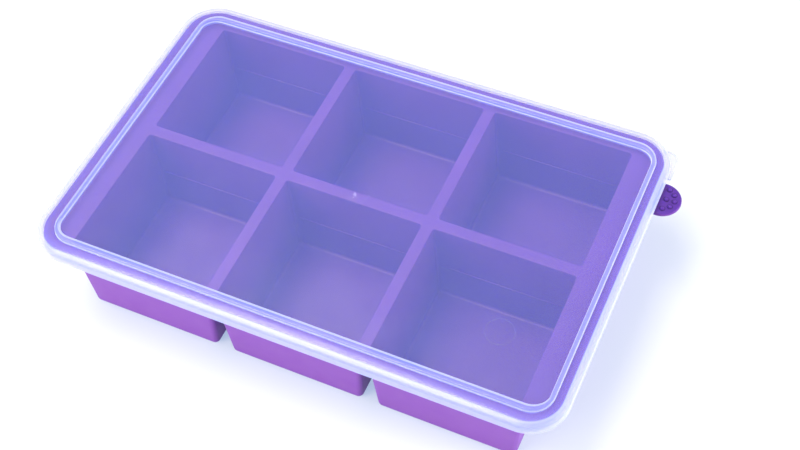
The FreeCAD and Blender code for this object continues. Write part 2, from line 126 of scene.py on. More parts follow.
def soften(
    corners: np.ndarray, radii: np.ndarray, steps: int = 6, hold: float = 0.25
) -> np.ndarray:
    """Round the corners of an open profile and add a point just before and after each arc.

    At a corner the arc touches both legs at the radius times the tangent of half the turn, and
    its points are the arc's centre plus the radius times a direction that turns evenly from one
    leg's normal to the other's.

    Args:
        corners: Profile corners, K by 2.
        radii: Radius at each corner, 0 at the two ends.
        steps: Steps in each arc.
        hold: Distance of the added points from the arc.

    Returns:
        The rounded profile, M by 2.
    """
    legs = np.diff(corners, axis=0)
    ways = legs / np.linalg.norm(legs, axis=1)[:, None]
    before, after = ways[:-1], ways[1:]
    radius = radii[1:-1, None]
    cross = before[:, 0] * after[:, 1] - before[:, 1] * after[:, 0]
    turn = np.arctan2(cross, (before * after).sum(axis=1))
    reach = radius * np.tan(np.abs(turn) / 2)[:, None]
    start = corners[1:-1] - before * reach
    side = np.sign(turn)[:, None]
    left = np.stack([-before[:, 1], before[:, 0]], axis=1)
    centre = start + side * radius * left
    swept = np.linspace(0, 1, steps + 1)[None, :] * turn[:, None]
    arm = start - centre
    cos, sin = np.cos(swept), np.sin(swept)
    x = centre[:, :1] + arm[:, :1] * cos - arm[:, 1:] * sin
    y = centre[:, 1:] + arm[:, :1] * sin + arm[:, 1:] * cos
    arcs = np.stack([x, y], axis=2)
    lead = arcs[:, :1] - before[:, None, :] * hold
    trail = arcs[:, -1:] + after[:, None, :] * hold
    middle = np.concatenate([lead, arcs, trail], axis=1).reshape(-1, 2)
    return np.vstack([corners[:1], middle, corners[-1:]])


def raised(flat: np.ndarray, height: np.ndarray | float) -> np.ndarray:
    """Give flat points a height.

    Args:
        flat: Points, any shape ending in 2.
        height: One height, or one for each leading ring.

    Returns:
        The same points with a third coordinate.
    """
    level = np.broadcast_to(np.reshape(height, (-1,) + (1,) * (flat.ndim - 2)), flat.shape[:-1])
    return np.concatenate([flat, level[..., None]], axis=-1)


def carried(points: np.ndarray, outward: np.ndarray, profile: np.ndarray) -> np.ndarray:
    """Carry a profile round an outline: each point goes out by the profile's first number.

    Args:
        points: Outline, N by 2.
        outward: Its outward directions, N by 2.
        profile: Offsets and heights, T by 2.

    Returns:
        Rings, T by N by 3.
    """
    flat = points[None] + profile[:, :1, None] * outward[None]
    return raised(flat, profile[:, 1])


def placed(name: str, data: bpy.types.ID) -> bpy.types.Object:
    """Put a mesh, a light or a camera in the scene, at the origin.

    Args:
        name: Name of the object.
        data: What the object holds.

    Returns:
        The object.
    """
    made = bpy.data.objects.new(name, data)
    bpy.context.scene.collection.objects.link(made)
    return made


class Skin:
    """Collects loops of points and joins them into one closed mesh."""

    def __init__(self, name: str) -> None:
        """Start an empty skin.

        Args:
            name: Name of the object that it becomes.
        """
        self.name = name
        self.points: list[np.ndarray] = []
        self.faces: list[np.ndarray] = []
        self.walls: list[np.ndarray] = []
        self.count = 0

    def _add(self, points: np.ndarray, wall: np.ndarray) -> int:
        """Store points and what the material reads there.

        Args:
            points: Points, P by 3.
            wall: One number for each point.

        Returns:
            Index of the first of them.
        """
        first = self.count
        self.points.append(points)
        self.walls.append(wall)
        self.count += len(points)
        return first

    def loops(
        self,
        rings: np.ndarray,
        begin: End = End.OPEN,
        finish: End = End.OPEN,
        wall: np.ndarray | None = None,
    ) -> None:
        """Join rings of equal length by quads, and close an end by a pole at its middle.

        Args:
            rings: Points, T rings by N by 3.
            begin: Whether the first ring closes on a pole.
            finish: Whether the last ring closes on a pole.
            wall: What the material reads, at each ring or T by N: the lid's depth of haze, or
            a share of the silicone's other colour, which is painted light or painted shade.
        """
        count, size = rings.shape[:2]
        depth = np.zeros(count) if wall is None else np.asarray(wall, float)
        depth = np.broadcast_to(depth.reshape(count, -1), (count, size))
        base = self._add(rings.reshape(-1, 3), depth.reshape(-1))
        index = base + np.arange(count * size).reshape(count, size)
        ahead = np.roll(index, -1, axis=1)
        quads = np.stack([index[:-1], ahead[:-1], ahead[1:], index[1:]], axis=-1)
        self.faces.append(quads.reshape(-1, 4))
        for end, ring, turned in ((begin, 0, True), (finish, -1, False)):
            if end is End.POLE:
                middle = self._add(rings[ring].mean(axis=0)[None], depth[ring, :1])
                near, far = index[ring], ahead[ring]
                if turned:
                    near, far = far, near
                fan = np.stack([near, far, np.full(size, middle)], axis=-1)
                self.faces.append(fan)

    def build(self, sharp_degrees: float = 50.0) -> bpy.types.Object:
        """Make the object, merge its seams, point its faces outwards and smooth it.

        Args:
            sharp_degrees: Edges that turn by more than this stay sharp.

        Returns:
            The new object, in metres, at the origin.
        """
        mesh = bpy.data.meshes.new(self.name)
        faces = [face for group in self.faces for face in group.tolist()]
        mesh.from_pydata((np.vstack(self.points) * MM).tolist(), [], faces)
        store = mesh.attributes.new("wall", "FLOAT", "POINT")
        store.data.foreach_set("value", np.concatenate(self.walls).astype(np.float32))
        work = bmesh.new()
        work.from_mesh(mesh)
        bmesh.ops.remove_doubles(work, verts=work.verts[:], dist=MERGE)
        bmesh.ops.dissolve_degenerate(work, edges=work.edges[:], dist=MERGE / 2)
        bmesh.ops.recalc_face_normals(work, faces=work.faces[:])
        work.to_mesh(mesh)
        work.free()
        mesh.polygons.foreach_set("use_smooth", [True] * len(mesh.polygons))
        mesh.set_sharp_from_angle(angle=math.radians(sharp_degrees))
        return placed(self.name, mesh)


class Graph:
    """A short way to write a material's nodes."""

    def __init__(self, tree: bpy.types.NodeTree) -> None:
        """Empty a node tree.

        Args:
            tree: The tree to fill.
        """
        self.tree = tree
        tree.nodes.clear()

    def feed(self, target: Socket, value: Value) -> None:
        """Link an input to a socket, or set it to a plain value.

        Args:
            target: The input.
            value: Socket or value.
        """
        if isinstance(value, Socket):
            self.tree.links.new(value, target)
        else:
            target.default_value = value

    def node(self, kind: str, *values: Value, **settings: object) -> bpy.types.Node:
        """Add a node and set its properties and inputs.

        Args:
            kind: Blender's name for the node.
            *values: Sockets or values for its first inputs, in their order.
            **settings: Properties by name. A name ending in _in is that input's.

        Returns:
            The node.
        """
        made = self.tree.nodes.new(kind)
        for name, value in settings.items():
            if name.endswith("_in"):
                words = name.removesuffix("_in").replace("_", " ").title()
                self.feed(made.inputs[words.replace("Ior", "IOR")], value)
            else:
                setattr(made, name, value)
        for target, value in zip(made.inputs, values):
            self.feed(target, value)
        return made

    def math(self, operation: str, first: Value, second: Value = 0.0) -> Socket:
        """Work out one sum on sockets or plain numbers and return the result's socket."""
        return self.node("ShaderNodeMath", first, second, operation=operation).outputs[0]

    def vector(self, operation: str, first: Value, second: Value) -> Socket:
        """Work out one sum on three numbers at once and return the result's socket."""
        return self.node("ShaderNodeVectorMath", first, second, operation=operation).outputs[0]

    def noise(self, where: Socket, scale: float, detail: float) -> Socket:
        """Add a noise pattern on a coordinate and return its value's socket."""
        made = self.node("ShaderNodeTexNoise", Vector_in=where, Scale_in=scale, Detail_in=detail)
        return made.outputs["Fac"]

    def spread(self, noise: Socket, low: float, high: float) -> Socket:
        """Map a noise pattern evenly onto a range and return the result's socket."""
        return self.node("ShaderNodeMapRange", noise, *NOISE_SPAN, low, high).outputs["Result"]

    def bump(self, height: Socket, strength: float, distance: float) -> Socket:
        """Turn a pattern into a bump of a height in metres and return the normal's socket."""
        made = self.node("ShaderNodeBump", Height_in=height, Strength_in=strength,
                         Distance_in=distance)
        return made.outputs["Normal"]

    def added(self, one: Socket, two: Socket) -> Socket:
        """Add two shaders and return the shader's socket."""
        return self.node("ShaderNodeAddShader", one, two).outputs[0]

    def mixed(self, share: Value, one: Socket, two: Socket) -> Socket:
        """Mix two shaders by a share of the second and return the shader's socket."""
        return self.node("ShaderNodeMixShader", share, one, two).outputs[0]

    def blend(self, share: Socket, one: Value, two: Value) -> Socket:
        """Mix two colours by a share of the second.

        Args:
            share: Share of the second colour.
            one: The first colour.
            two: The second colour.

        Returns:
            The colour's socket.
        """
        made = self.node("ShaderNodeMix", share, data_type="RGBA")
        first, second, result = made.inputs[6], made.inputs[7], made.outputs[2]
        self.feed(first, one)
        self.feed(second, two)
        return result


@dataclass(frozen=True)
class Finish:
    """What every finish shares.

    Args:
        name: Name of the material.
    """

    name: str

    def make(self) -> bpy.types.Material:
        """Make the material.

        Returns:
            The material.
        """
        material = bpy.data.materials.new(self.name)
        material.use_nodes = True
        graph = Graph(material.node_tree)
        graph.node("ShaderNodeOutputMaterial", self.surface(graph))
        return material

    def surface(self, graph: Graph) -> Socket:
        """Add the nodes of the surface and return its shader's socket."""
        raise NotImplementedError


@dataclass(frozen=True)
class Silicone(Finish):
    """Soft satin silicone, with cloudy pigment, a fine matt grain and a little depth of light.

    Args:
        name: Name of the material.
        deep: Colour where the pigment is thick.
        light: Colour where it is thin.
        outside: Colour where the mesh asks for it: painted light on the cups' brighter outsides,
        the thumb tab's lit side and the line round each cell's floor, or painted shadow.
        clouds: Scale and detail of the pigment's clouds.
        grain: Scale and detail of the matt grain.
        grain_bump: The grain's strength, and its height in metres.
        smears: Scale and detail of the faint smears in the satin.
        roughness: Roughness of the satin, from the clean surface to the smears.
        bending: Index of refraction.
        glow: Share of the light that goes into the wall and out again.
        glow_reach: How far red, green and blue get in the wall, in parts of glow_scale.
        glow_scale: Furthest that light gets in the wall, in metres.
    """

    name: str = "purple_silicone"
    deep: Colour = (0.100, 0.027, 0.285, 1.0)
    light: Colour = (0.121, 0.033, 0.325, 1.0)
    # Painted light: brighter, redder purple for the lit cup outsides and the tab's side.
    outside: Colour = (0.185, 0.050, 0.345, 1.0)
    clouds: Pair = (28.0, 3.0)
    grain: Pair = (1600.0, 2.0)
    grain_bump: Pair = (0.03, 0.0001)
    smears: Pair = (90.0, 4.0)
    roughness: Pair = (0.4, 0.48)
    bending: float = 1.41
    glow: float = 0.12
    glow_reach: tuple[float, float, float] = (0.5, 0.25, 1.0)
    glow_scale: float = 0.0015

    def surface(self, graph: Graph) -> Socket:
        """Add the nodes of the surface.

        The colour goes from deep to light with the clouds, and from there to the outside's
        colour by the share that the mesh holds, which is painted light or painted shade.

        Args:
            graph: Where the nodes go.

        Returns:
            The shader's socket.
        """
        where = graph.node("ShaderNodeTexCoord").outputs["Object"]
        # Share of the outside colour that the mesh holds: painted light or painted shade.
        cup = graph.node("ShaderNodeAttribute", attribute_name="wall").outputs["Fac"]
        clouds = graph.spread(graph.noise(where, *self.clouds), 0.0, 1.0)
        tint = graph.blend(clouds, self.deep, self.light)
        shader = graph.node(
            "ShaderNodeBsdfPrincipled",
            Base_Color_in=graph.blend(cup, tint, self.outside),
            Roughness_in=graph.spread(graph.noise(where, *self.smears), *self.roughness),
            Normal_in=graph.bump(graph.noise(where, *self.grain), *self.grain_bump),
            IOR_in=self.bending,
            Subsurface_Weight_in=self.glow,
            Subsurface_Radius_in=self.glow_reach,
            Subsurface_Scale_in=self.glow_scale,
        )
        return shader.outputs["BSDF"]


# Painted shade: a darker copy of the silicone for the thumb tab, in the lid's shadow.
TAB_PAINTED_SHADE_SILICONE = Silicone("painted_shade_silicone", (0.066, 0.018, 0.225, 1.0), (0.084, 0.023, 0.26, 1.0))
# Painted shadow: a darker copy for the grip bumps, painted darkest at their feet.
GRIP_PAINTED_SHADOW_SILICONE = Silicone("grip_painted_shadow_silicone", (0.072, 0.02, 0.24, 1.0), (0.088, 0.024, 0.27, 1.0),
                         (0.022, 0.006, 0.09, 1.0))


@dataclass(frozen=True)
class MilkyPlastic(Finish):
    """Thin clear plastic with a fine haze, which scatters blue most while it is thin.

    Args:
        name: Name of the material.
        thinning: How fast red, green and blue fade through it, for each millimetre.
        forward: Share of the scattered light that goes on through the wall.
        tint: Colour of the scattered light.
        least_cosine: Cosine at which a slanting way through the wall stops getting longer.
        clouds: Scale and detail of the haze's clouds.
        cloudiness: Depth of haze from the clearest to the milkiest cloud, 1 on average.
        ripple: Scale and detail of the surface's ripple.
        ripple_bump: The ripple's strength, and its height in metres.
        smears: Scale and detail of the faint smears in the gloss.
        roughness: Roughness of the gloss, from the clean surface to the smears.
        gloss: Share of light that the wall mirrors when it is seen squarely.
        edge_gloss: Share that it mirrors besides when it is seen edge on.
        edge_power: Power with which that share grows.
    """

    name: str = "milky_plastic"
    thinning: tuple[float, float, float] = (0.09, 0.115, 0.40)
    forward: float = 0.5
    tint: tuple[float, float, float] = (0.685, 0.715, 0.95)
    least_cosine: float = 0.15
    clouds: Pair = (22.0, 3.0)
    cloudiness: Pair = (0.95, 1.05)
    ripple: Pair = (420.0, 3.0)
    ripple_bump: Pair = (0.02, 0.0001)
    smears: Pair = (60.0, 4.0)
    roughness: Pair = (0.15, 0.21)
    gloss: float = 0.04
    edge_gloss: float = 0.35
    edge_power: float = 5.0

    def surface(self, graph: Graph) -> Socket:
        """Add the nodes of the surface.

        Each colour's sight through a wall is e to the power of minus its thinning times the
        way through, which is half the wall at each of its two faces, over the cosine of the
        angle. What isn't let through is scattered, forwards or back. The share that is mirrored
        is the gloss plus the edge gloss times a power of one less the cosine.

        Args:
            graph: Where the nodes go.

        Returns:
            The shader's socket.
        """
        where = graph.node("ShaderNodeTexCoord").outputs["Object"]
        wall = graph.node("ShaderNodeAttribute", attribute_name="wall").outputs["Fac"]
        facing = graph.node("ShaderNodeLayerWeight", Blend_in=0.5).outputs["Facing"]
        cosine = graph.math("MAXIMUM", graph.math("SUBTRACT", 1.0, facing), self.least_cosine)
        way = graph.math("DIVIDE", graph.math("MULTIPLY", wall, 0.5), cosine)
        cloud = graph.spread(graph.noise(where, *self.clouds), *self.cloudiness)
        depth = graph.math("MULTIPLY", way, cloud)
        fades = [graph.math("EXPONENT", graph.math("MULTIPLY", depth, -rate))
                 for rate in self.thinning]
        sight = graph.node("ShaderNodeCombineXYZ", *fades).outputs[0]
        clear = graph.node("ShaderNodeBsdfTransparent", sight)
        lost = graph.vector("SUBTRACT", (1.0, 1.0, 1.0), sight)
        shades = np.array(self.tint)
        back = graph.vector("MULTIPLY", lost, tuple(shades * (1.0 - self.forward)))
        on = graph.vector("MULTIPLY", lost, tuple(shades * self.forward))
        milk = graph.node("ShaderNodeBsdfDiffuse", back)
        glow = graph.node("ShaderNodeBsdfTranslucent", on)
        haze = graph.added(milk.outputs[0], glow.outputs[0])
        body = graph.added(clear.outputs[0], haze)
        mirror = graph.node(
            "ShaderNodeBsdfGlossy",
            Roughness_in=graph.spread(graph.noise(where, *self.smears), *self.roughness),
            Normal_in=graph.bump(graph.noise(where, *self.ripple), *self.ripple_bump),
        )
        slant = graph.math("POWER", facing, self.edge_power)
        shine = graph.math("ADD", graph.math("MULTIPLY", slant, self.edge_gloss), self.gloss)
        return graph.mixed(shine, body, mirror.outputs[0])


@dataclass(frozen=True)
class PaleFloor(Finish):
    """Plain pale floor that shows white to the camera and keeps a soft shadow.

    Args:
        name: Name of the material.
        shade: Colour of the floor for the light that it throws back on the tray.
        shown: Its colour for rays that only look, low enough that lit parts just reach white.
        lift: Light added for those rays, which keeps the shadow as soft as it is.
        far_lift: Light added far out, where the lamps hardly reach, so that it stays white.
        near: Metres from the middle at which the added light starts to grow.
        far: Metres from the middle at which it is the far one.
    """

    name: str = "pale_floor"
    shade: Colour = (0.79, 0.86, 0.95, 1.0)
    shown: Colour = (0.43, 0.40, 0.32, 1.0)
    lift: Colour = (0.37, 0.47, 0.67, 1.0)
    far_lift: Colour = (0.80, 0.81, 0.86, 1.0)
    near: float = 0.9
    far: float = 1.5

    def surface(self, graph: Graph) -> Socket:
        """Add the nodes of the surface.

        The far light's share is the distance from the middle past near, over the way from
        near to far, kept between 0 and 1.

        Args:
            graph: Where the nodes go.

        Returns:
            The shader's socket.
        """
        rays = graph.node("ShaderNodeLightPath").outputs
        looking = graph.math("MAXIMUM", rays["Is Camera Ray"], rays["Is Glossy Ray"])
        looking = graph.math("MAXIMUM", looking, rays["Is Transmission Ray"])
        where = graph.node("ShaderNodeTexCoord").outputs["Object"]
        away = graph.node("ShaderNodeVectorMath", where, operation="LENGTH").outputs["Value"]
        past = graph.math("SUBTRACT", away, self.near)
        share = graph.math("MAXIMUM", graph.math("DIVIDE", past, self.far - self.near), 0.0)
        light = graph.blend(graph.math("MINIMUM", share, 1.0), self.lift, self.far_lift)
        matt = graph.node("ShaderNodeBsdfDiffuse", self.shade)
        pale = graph.node("ShaderNodeBsdfDiffuse", self.shown)
        lift = graph.node("ShaderNodeEmission", light)
        seen = graph.added(pale.outputs[0], lift.outputs[0])
        return graph.mixed(looking, matt.outputs[0], seen)


@dataclass
class Deck:
    """Sizes that the tray and the lid share: the bank of cells and the rim round them.

    Args:
        pitch: Distance from cell to cell, across and along.
        columns: Cells from side to side.
        rows: Cells from front to back.
        level: Height of the deck's upper face.
        underside: Height of its lower face.
        rim_core: Half the width and length of the sharp rectangle that the rim runs round.
        rim_top: Height of the rim's flat top.
        rim_foot: Height of its lower edge.
        rim_outer: Distance of its outer face from the core, at the top.
        rim_foot_outer: The same at its foot.
        rim_inner: Distance of its inner wall from the core.
        apron: Strip of deck inside that wall which belongs to the rim's skin.
    """

    pitch: Pair = (80.0, 80.85)
    columns: int = 3
    rows: int = 2
    level: float = 51.0
    underside: float = 48.6
    rim_core: Pair = (118.225, 70.275)
    rim_top: float = 53.9
    rim_foot: float = 47.4
    rim_outer: float = 16.4
    rim_foot_outer: float = 17.782
    rim_inner: float = 10.9
    apron: float = 1.0

    @property
    def seam(self) -> float:
        """Distance from the core at which the tiles of the deck meet the rim's skin."""
        return self.rim_inner - self.apron

    def centres(self) -> np.ndarray:
        """Return the middle of each cell about the deck's own middle, C by 2."""
        across = (np.arange(self.columns) - (self.columns - 1) / 2) * self.pitch[0]
        along = (np.arange(self.rows) - (self.rows - 1) / 2) * self.pitch[1]
        return np.stack(np.meshgrid(across, along, indexing="ij"), axis=-1).reshape(-1, 2)

    def track(self, sampling: Sampling) -> tuple[np.ndarray, np.ndarray]:
        """Sample the rim's core so that points carried out from it meet those of the tiles.

        A corner is repeated while its direction turns by a quarter. The sides are divided
        evenly between the lines that part the tiles.

        Args:
            sampling: Steps of a corner and of a tile's side.

        Returns:
            Points and outward directions, both N by 2.
        """
        share = np.arange(sampling.side_steps) / sampling.side_steps
        lines = []
        for half, pitch, count in zip(self.rim_core, self.pitch, (self.columns, self.rows)):
            parting = (np.arange(1, count) - count / 2) * pitch
            knots = np.concatenate([[-half], parting, [half]])
            lines.append((knots[:-1, None] + np.diff(knots)[:, None] * share).ravel())
        ramp = np.linspace(0, 1, sampling.corner_steps, endpoint=False) * math.pi / 2
        core, outward = [], []
        for turn, signs in enumerate(CORNERS):
            across, along = turn % 2, 1 - turn % 2
            corner = np.array(self.rim_core) * signs
            side = np.tile(corner, (len(lines[along]), 1))
            side[:, along] = -signs[along] * lines[along]
            way = np.where(np.arange(2) == across, signs, 0.0)
            core += [np.tile(corner, (len(ramp), 1)), side]
            outward += [directions(math.radians(90 * turn - 90) + ramp),
                        np.tile(way, (len(side), 1))]
        return np.vstack(core), np.vstack(outward)


@dataclass(frozen=True)
class CupSide:
    """One side of every cup's wall: the open cell, or the outside.

    Args:
        high: Height at which it leaves the deck.
        low: Height of its floor.
        grow: How far it stands out from the cell's mouth.
        collar: Strip of deck round it that belongs to it.
        inset: Distance from the wall to the last ring on its floor.
        edge: Radius where it leaves the deck.
        foot: Radius at its floor and of its upright corners.
        shade: Share of the outside's colour, which paints the cups' outsides brighter as painted
            light.
    """

    high: float
    low: float
    grow: float
    collar: float
    inset: float
    edge: float
    foot: float
    shade: float

    def profile(self) -> np.ndarray:
        """Return its profile from the deck down the wall and onto the floor, T by 2."""
        corners = np.array([[self.collar, self.high], [0.0, self.high],
                            [0.0, self.low], [-self.inset, self.low]])
        return soften(corners, np.array([0.0, self.edge, self.foot, 0.0]))


FLOOR_ROUND = slice(-5, -2)  # the last rings of a cup side's arc onto its floor


@dataclass
class Tray:
    """The soft tray: deck, rim, six cups, fill lines and the thumb tab.

    Args:
        deck: Sizes shared with the lid.
        mouth: Half a cell's width and length at the deck.
        drafts: Degrees by which the cups narrow downwards, across and along.
        cell_floor: Height of the cells' floors.
        cell_round: Radius of a cell's corners and round its floor.
        cell_collar: Strip of deck round a cell that belongs to it.
        cell_inset: Distance from a cell's wall to the last ring on its floor.
        cup_wall: Wall between a cell and the outside of its cup.
        cup_round: Radius of a cup's corners and round its foot.
        cup_collar: Strip of the deck's underside round a cup that belongs to it.
        cup_inset: Distance from a cup's wall to the last ring under its foot.
        lip: Radius of a cell's lip.
        root: Radius where a cup meets the deck's underside.
        edge_round: Radius of the rim's two upper edges.
        crease: Radius of its other edges.
        floor_painted_highlight: Share of the outside's colour in the fine line round a cell's
        floor, a painted highlight in the crease.
        sampling: Steps of a corner and of a tile's side.
    """

    deck: Deck
    mouth: Pair = (36.925, 37.25)
    drafts: Pair = (3.5, 2.3)
    cell_floor: float = 2.3
    cell_round: float = 1.6
    cell_collar: float = 1.2
    cell_inset: float = 3.0
    cup_wall: float = 2.05
    cup_round: float = 2.8
    cup_collar: float = 0.95
    cup_inset: float = 4.0
    lip: float = 0.45
    root: float = 0.7
    edge_round: float = 0.8
    crease: float = 0.4
    floor_painted_highlight: float = 0.4
    sampling: Sampling = field(default_factory=Sampling)

    def _cup_rings(self, side: CupSide) -> np.ndarray:
        """Carry a side's profile round a cup whose halves shrink with depth by the drafts.

        Half a width is the mouth's half plus the growth, less the depth times the draft's
        tangent, plus the profile's offset. The corner radius takes the offset too.

        Args:
            side: The side of the cup's wall.

        Returns:
            Rings about the cup's own middle, T by N by 3.
        """
        profile = side.profile()
        level = self.deck.level
        depth = np.clip(level - profile[:, 1], 0, level - side.low)
        signs, outward = self.sampling.loop((1.0, 1.0), (0.0,) * 4)
        slopes = np.tan(np.radians(self.drafts))
        offset = profile[:, 0]
        half = np.array(self.mouth) + side.grow - depth[:, None] * slopes + offset[:, None]
        corner = np.maximum(side.foot + offset, 0.0)
        core = np.maximum(half - corner[:, None], 0.0)
        flat = signs[None] * core[:, None, :] + corner[:, None, None] * outward[None]
        return raised(flat, profile[:, 1])

    def _tile(self, centre: np.ndarray) -> np.ndarray:
        """Outline the piece of deck round one cell.

        It ends halfway to the next cell or, beside the rim, at the seam, whose corners are
        rounded about the rim's core.

        Args:
            centre: Middle of the cell.

        Returns:
            Points about the cell's middle, N by 2.
        """
        deck = self.deck
        pitch, last = np.array(deck.pitch), np.array([deck.columns, deck.rows]) - 1
        outer = np.array(deck.rim_core) + deck.seam
        place = np.round(centre / pitch + last / 2).astype(int)
        low = np.where(place == 0, -outer, centre - pitch / 2)
        high = np.where(place == last, outer, centre + pitch / 2)
        ends = np.where(CORNERS > 0, high, low)
        at_rim = np.isclose(np.abs(ends), outer).all(axis=1)
        radii = tuple(np.where(at_rim, deck.seam, 0.0))
        points, _ = self.sampling.loop(tuple((high - low) / 2), radii)
        return points + (low + high) / 2 - centre

    def _add_side(self, skin: Skin, side: CupSide) -> None:
        """Add one side of the deck with all its cups, from the tiles' outlines inwards.

        Args:
            skin: The skin to add to.
            side: The side of the cups' walls.
        """
        rings = self._cup_rings(side)
        # Painted highlight: a lighter line round each cell's floor, in the crease.
        shade = np.full(len(rings) + 1, side.shade)
        shade[FLOOR_ROUND] += self.floor_painted_highlight * (1.0 - side.shade)
        for centre in self.deck.centres():
            edge = raised(self._tile(centre), side.high)[None]
            stack = np.concatenate([edge, rings], axis=0)
            skin.loops(stack + (np.append(centre, 0.0) + MIDDLE), finish=End.POLE, wall=shade)

    def _rim_profile(self) -> np.ndarray:
        """Profile of the rim, from the deck's edge over the rim to the underside's edge.

        Returns:
            Reaches and heights, T by 2.
        """
        deck, edge, crease = self.deck, self.edge_round, self.crease
        turns = np.array([
            [deck.seam, deck.level, 0.0],
            [deck.rim_inner, deck.level, crease],
            [deck.rim_inner, deck.rim_top, edge],
            [deck.rim_outer, deck.rim_top, edge],
            [deck.rim_foot_outer, deck.rim_foot, crease],
            [deck.rim_inner, deck.rim_foot, crease],
            [deck.rim_inner, deck.underside, crease],
            [deck.seam, deck.underside, 0.0],
        ])
        return soften(turns[:, :2], turns[:, 2])

    def shell(self) -> bpy.types.Object:
        """Make deck, rim and cups as one closed skin.

        Returns:
            The tray's main piece.
        """
        deck = self.deck
        skin = Skin("tray_shell")
        self._add_side(skin, CupSide(deck.level, self.cell_floor, 0.0, self.cell_collar,
                                     self.cell_inset, self.lip, self.cell_round, 0.0))
        # The cups' outsides take the outside colour in full, as painted light.
        self._add_side(skin, CupSide(deck.underside, 0.0, self.cup_wall, self.cup_collar,
                                     self.cup_inset, self.root, self.cup_round, 1.0))
        points, outward = deck.track(self.sampling)
        skin.loops(carried(points + MIDDLE[:2], outward, self._rim_profile()))
        return skin.build()

    def build(
        self,
        silicone: bpy.types.Material,
        painted_shade: bpy.types.Material,
        grip: bpy.types.Material,
    ) -> list[bpy.types.Object]:
        """Make and dress every piece of the tray.

        Args:
            silicone: Material of the moulding.
            painted_shade: The same material painted darker for the thumb tab, as painted shade.
            grip: The same material painted darker, with painted shadow at the feet, for the
                bumps.

        Returns:
            The pieces.
        """
        shell = self.shell()
        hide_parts("tray")
        tab = ThumbTab(self.deck)
        dressed = {shell: silicone, FillLines(self).ridges(): silicone,
                   tab.plate(): painted_shade, tab.bumps(): grip}
        for piece, material in dressed.items():
            piece.data.materials.append(material)
            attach(piece, "tray")
        return list(dressed)


@dataclass
class FillLines:
    """Thin level ridge on the back wall of every cell.

    Args:
        tray: The tray that carries them.
        depth: Depth of a line under the deck.
        height: Height of a ridge.
        rise: How far it stands out of the wall.
        full_to: Share of its half length up to which it has its full section.
        end_swell: Share of that section at its end faces.
        around: Points round its section.
    """

    tray: Tray
    depth: float = 28.0
    height: float = 0.9
    rise: float = 0.4
    full_to: float = 0.995
    end_swell: float = 0.6
    around: int = 24

    def ridges(self) -> bpy.types.Object:
        """Make the six ridges, each a half-round bar that sinks into its wall.

        Its section is an ellipse about a line in the wall's face, and shrinks at both ends.

        Returns:
            One piece with six closed bars.
        """
        deck = self.tray.deck
        half = np.array(self.tray.mouth) - self.depth * np.tan(np.radians(self.tray.drafts))
        length = half[0] - 2 * self.tray.cell_round
        angle = np.linspace(0, 2 * math.pi, self.around, endpoint=False)
        full, end = self.full_to, self.end_swell
        stations = np.array([-1.0, -1.0, -full, full, 1.0, 1.0]) * length
        swell = np.array([0.0, end, 1.0, 1.0, end, 0.0])[:, None]
        depth = half[1] - self.rise * swell * np.cos(angle)
        height = deck.level - self.depth + self.height / 2 * swell * np.sin(angle)
        across = np.broadcast_to(stations[:, None], depth.shape)
        bar = np.stack([across, depth, height], axis=-1)
        skin = Skin("fill_lines")
        for centre in deck.centres():
            skin.loops(bar + (np.append(centre, 0.0) + MIDDLE), End.POLE, End.POLE)
        return skin.build()


